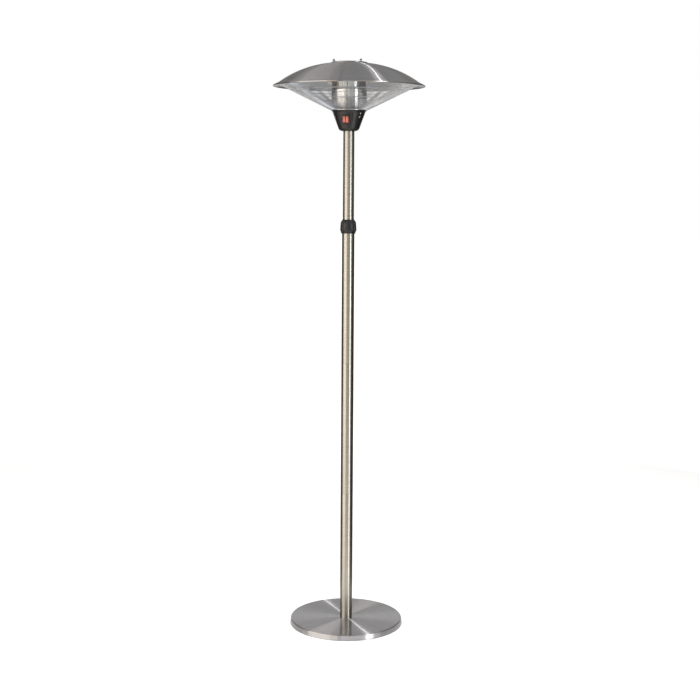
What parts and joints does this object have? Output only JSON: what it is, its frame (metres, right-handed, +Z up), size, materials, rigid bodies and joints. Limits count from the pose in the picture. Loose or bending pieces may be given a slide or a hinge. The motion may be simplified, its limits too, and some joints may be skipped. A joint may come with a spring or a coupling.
{
  "type": "patio heater",
  "caption": "Free-standing electric infrared patio heater: round weighted base, telescopic pole with twist collar, rocker switches, wire guard and umbrella dome.",
  "frame": {"origin": "on the floor, at the centre of the round base, under the feet", "axes": "+Z up along the pole; -Y towards the side with the rocker switches; +X to the right of someone who faces the switches"},
  "size_m": [0.54, 0.54, 2.0602],
  "materials": {
    "brushed_steel": "brushed stainless steel, satin",
    "polished_steel": "polished stainless steel or aluminium",
    "guard_wire": "bright plated spring wire",
    "cast_iron": "rough casting",
    "zinc_steel": "zinc plated steel",
    "black_plastic": "satin moulded plastic",
    "red_rocker": "translucent red, gloss",
    "rubber": "matt rubber",
    "quartz": "clear quartz tube with a gold filter",
    "ceramic": "matt ceramic (stands in for steatite)",
    "nylon": "natural nylon"
  },
  "bodies": {
    "stand": {"base_cover": "brushed_steel", "base_weight": "cast_iron", "base_plate": "zinc_steel", "foot_1": "rubber", "foot_2": "rubber", "foot_3": "rubber", "foot_4": "rubber", "pole_socket": "zinc_steel", "socket_screw_1": "zinc_steel", "lower_tube_1": "brushed_steel", "socket_screw_2": "zinc_steel", "lower_tube_2": "brushed_steel", "socket_screw_3": "zinc_steel", "lower_tube_3": "brushed_steel", "tube_connector_1": "zinc_steel", "tube_connector_2": "zinc_steel", "clamp_sleeve": "black_plastic"},
    "twist_collar": {"twist_collar": "black_plastic"},
    "guide_bush": {"guide_bush": "nylon"},
    "head": {"upper_tube": "brushed_steel", "control_housing": "black_plastic", "mast_bracket": "zinc_steel", "housing_screw_1": "zinc_steel", "housing_screw_2": "zinc_steel", "housing_screw_3": "zinc_steel", "housing_screw_4": "zinc_steel", "housing_screw_5": "zinc_steel", "housing_screw_6": "zinc_steel", "switch_bezel": "black_plastic", "cable_gland": "black_plastic", "terminal_block": "nylon", "tilt_switch": "black_plastic", "head_plate": "zinc_steel", "guard": "guard_wire", "reflector_drum": "polished_steel", "inner_reflector": "polished_steel", "dome": "brushed_steel", "top_cap": "brushed_steel", "ring_lamp_1": "quartz", "ring_lamp_2": "quartz", "lamp_terminal": "ceramic", "lamp_holder_1": "polished_steel", "tie_rod_1": "zinc_steel", "dome_spacer_1": "zinc_steel", "nut_spacer_1": "zinc_steel", "cap_nut_1": "zinc_steel", "lamp_holder_2": "polished_steel", "tie_rod_2": "zinc_steel", "dome_spacer_2": "zinc_steel", "nut_spacer_2": "zinc_steel", "cap_nut_2": "zinc_steel", "lamp_holder_3": "polished_steel", "tie_rod_3": "zinc_steel", "dome_spacer_3": "zinc_steel", "nut_spacer_3": "zinc_steel", "cap_nut_3": "zinc_steel"},
    "rocker_left": {"rocker_left": "red_rocker"},
    "rocker_right": {"rocker_right": "red_rocker"}
  },
  "joints": [
    {"name": "height_slide", "type": "slide", "parent": "stand", "child": "guide_bush", "axis": [0, 0, 1], "range_m": [-0.3, 0]},
    {"name": "head_swivel", "type": "hinge", "parent": "guide_bush", "child": "head", "pos_m": [0, 0, 1.5], "axis": [0, 0, 1], "range_deg": [-180, 180]},
    {"name": "collar_twist", "type": "hinge", "parent": "stand", "child": "twist_collar", "pos_m": [0, 0, 1.475], "axis": [0, 0, 1], "range_deg": [-120, 0]},
    {"name": "rocker_left_tip", "type": "hinge", "parent": "head", "child": "rocker_left", "pos_m": [-0.0069, -0.04576, 1.85026], "axis": [1, 0, 0], "range_deg": [0, 22]},
    {"name": "rocker_right_tip", "type": "hinge", "parent": "head", "child": "rocker_right", "pos_m": [0.0069, -0.04576, 1.85026], "axis": [1, 0, 0], "range_deg": [0, 22]}
  ]
}
